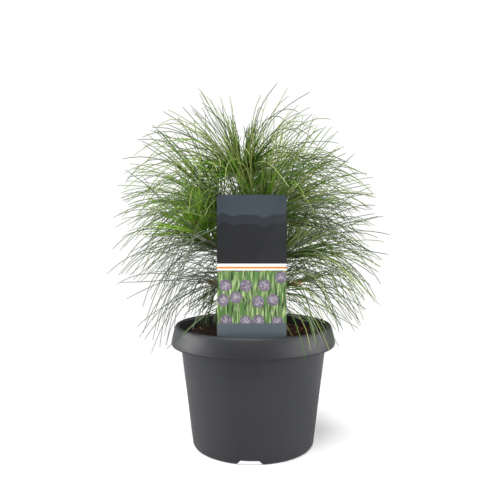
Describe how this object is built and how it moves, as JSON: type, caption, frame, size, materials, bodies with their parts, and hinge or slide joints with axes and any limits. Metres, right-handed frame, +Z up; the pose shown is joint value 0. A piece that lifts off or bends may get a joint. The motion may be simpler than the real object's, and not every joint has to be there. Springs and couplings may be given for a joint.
{
  "type": "potted pine",
  "caption": "Young long-needled pine with a round drooping crown, in a grey nursery pot with a flared collar, with a tall plant label behind its front rim.",
  "frame": {"origin": "on the pot's vertical axis, in the plane of the foot ring that the pot stands on", "axes": "+Z up along the pot's axis, front (the label) towards -Y, +X to the right seen from the front"},
  "size_m": [0.3055, 0.2923, 0.4038],
  "materials": {
    "pot": "injection-moulded polypropylene, satin",
    "soil": "damp potting soil of peat and bark chips",
    "label": "printed plastic card, semi-gloss",
    "bark": "young pine bark, scaly",
    "needles": "fresh pine needles, waxy"
  },
  "bodies": {
    "root": {"pot": "pot", "soil": "soil", "label": "label", "trunk": "bark", "bough_upper_1": "bark", "bough_upper_2": "bark", "bough_upper_3": "bark", "bough_upper_4": "bark", "bough_middle_1": "bark", "bough_middle_2": "bark", "bough_middle_3": "bark", "bough_middle_4": "bark", "bough_lower_1": "bark", "bough_lower_2": "bark", "bough_lower_3": "bark", "bough_lower_4": "bark", "needles_top": "needles", "needles_upper_1": "needles", "needles_upper_2": "needles", "needles_upper_3": "needles", "needles_upper_4": "needles", "needles_middle_1": "needles", "needles_middle_2": "needles", "needles_middle_3": "needles", "needles_middle_4": "needles", "needles_lower_1": "needles", "needles_lower_2": "needles", "needles_lower_3": "needles", "needles_lower_4": "needles"}
  },
  "joints": []
}
